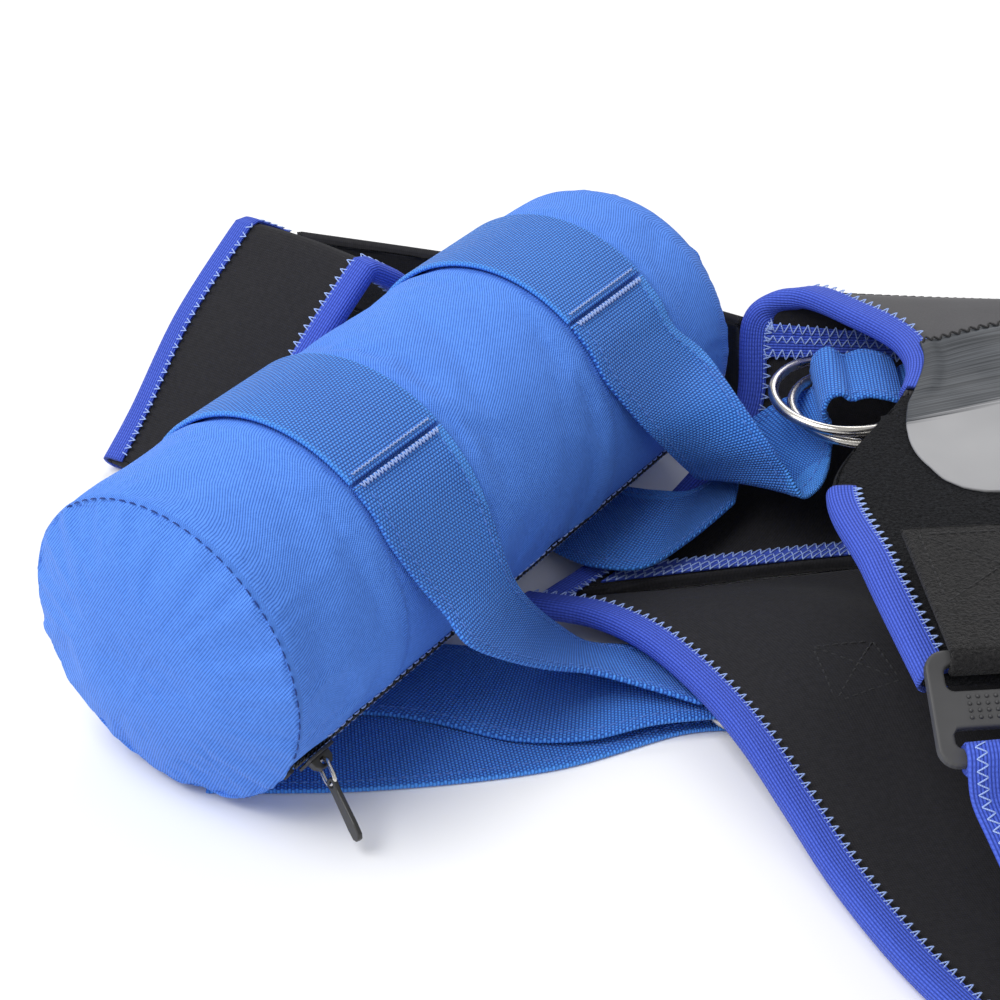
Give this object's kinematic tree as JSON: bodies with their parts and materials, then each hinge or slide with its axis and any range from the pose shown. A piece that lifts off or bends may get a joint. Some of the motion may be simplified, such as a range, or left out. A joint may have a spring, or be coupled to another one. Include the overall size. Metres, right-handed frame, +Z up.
{
  "type": "arm sling",
  "caption": "Wrap-around arm and shoulder sling with a zipped padded hand roll hung on two adjustable webbing straps, a bound sleeve with a buckled closure, and a chest strap.",
  "frame": {"origin": "middle of the footprint on the plane the sling lies on", "axes": "+Z up from that plane; +X from the hand roll along the sleeve to the shoulder cap; +Y from the open front of the sleeve to its closed back"},
  "size_m": [0.449, 0.3371, 0.0921],
  "materials": {
    "cover": "fine blue twill",
    "foam": "soft foam filling",
    "webbing": "plain woven blue webbing",
    "zip_tape": "black zipper tape",
    "zip_coil": "black nylon coil",
    "zip_metal": "black painted zinc",
    "ring": "nickel plated wire",
    "neoprene": "black knit faced neoprene",
    "plush": "black brushed loop fabric",
    "binding": "royal blue stretch binding",
    "label": "satin grey rubberised patch",
    "hook": "black hook and loop tape",
    "buckle": "moulded black nylon"
  },
  "bodies": {
    "sling": {"roll_core": "foam", "roll_cover": "cover", "roll_cap_near": "cover", "roll_cap_far": "cover", "zipper_tape_upper": "zip_tape", "zipper_tape_lower": "zip_tape", "zipper_coil_upper": "zip_coil", "zipper_coil_lower": "zip_coil", "zipper_stops": "zip_coil", "near_strap_band": "webbing", "near_strap_front": "webbing", "near_strap_under": "webbing", "near_strap_tail": "webbing", "far_strap_band": "webbing", "far_strap_front": "webbing", "far_strap_under": "webbing", "far_strap_tail": "webbing", "lower_ring_tab": "webbing", "upper_ring_tab": "webbing", "lower_panel": "neoprene", "lower_binding": "binding", "back_panel": "neoprene", "back_binding": "binding", "top_panel": "neoprene", "top_binding": "binding", "upper_panel": "plush", "upper_binding": "binding", "seam_tape": "binding", "rear_seam_tape": "binding", "label_patch": "label", "shoulder_cap": "neoprene", "cap_binding": "binding", "chest_strap_rear": "neoprene", "chest_strap_fold": "neoprene", "closure_strap_loop": "binding", "closure_strap": "binding"},
    "zip_slider": {"zipper_slider": "zip_metal"},
    "zip_pull": {"zipper_pull": "zip_metal"},
    "ring_low_bottom": {"lower_ring_bottom": "ring"},
    "ring_low_top": {"lower_ring_top": "ring"},
    "ring_up_bottom": {"upper_ring_bottom": "ring"},
    "ring_up_top": {"upper_ring_top": "ring"},
    "buckle": {"closure_buckle": "buckle"},
    "hook": {"hook_tab": "hook", "hook_pad": "hook"},
    "chest_end": {"chest_strap_end": "neoprene", "chest_end_binding": "binding", "chest_inner_binding": "binding"}
  },
  "joints": [
    {"name": "zipper_slide", "type": "slide", "parent": "sling", "child": "zip_slider", "axis": [0.5736, 0.8192, 0], "range_m": [0, 0.042]},
    {"name": "zipper_pull_swing", "type": "hinge", "parent": "zip_slider", "child": "zip_pull", "pos_m": [-0.1422, -0.07253, 0.01793], "axis": [-0.464, 0.3249, -0.8241], "range_deg": [-105, 65]},
    {"name": "lower_ring_bottom_turn", "type": "hinge", "parent": "sling", "child": "ring_low_bottom", "pos_m": [-0.0215, -0.0229, 0.0036], "axis": [0, 0, 1], "continuous": true},
    {"name": "lower_ring_top_turn", "type": "hinge", "parent": "sling", "child": "ring_low_top", "pos_m": [-0.0215, -0.0229, 0.009], "axis": [0, 0, 1], "continuous": true},
    {"name": "upper_ring_bottom_turn", "type": "hinge", "parent": "sling", "child": "ring_up_bottom", "pos_m": [0.0135, 0.0626, 0.0426], "axis": [0, 0, 1], "continuous": true},
    {"name": "upper_ring_top_turn", "type": "hinge", "parent": "sling", "child": "ring_up_top", "pos_m": [0.0075, 0.0626, 0.047], "axis": [0, 0, 1], "continuous": true},
    {"name": "buckle_swing", "type": "hinge", "parent": "sling", "child": "buckle", "pos_m": [0.03543, -0.11249, 0.0544], "axis": [0.9962, 0.0872, 0], "range_deg": [0, 25]},
    {"name": "hook_tab_peel", "type": "hinge", "parent": "buckle", "child": "hook", "pos_m": [0.0335, -0.0904, 0.0672], "axis": [0.9962, 0.0872, 0], "range_deg": [0, 115]},
    {"name": "chest_end_lift", "type": "hinge", "parent": "sling", "child": "chest_end", "pos_m": [-0.161, 0.1291, 0.06], "axis": [0.815, -0.5795, 0], "range_deg": [-60, 0]}
  ]
}
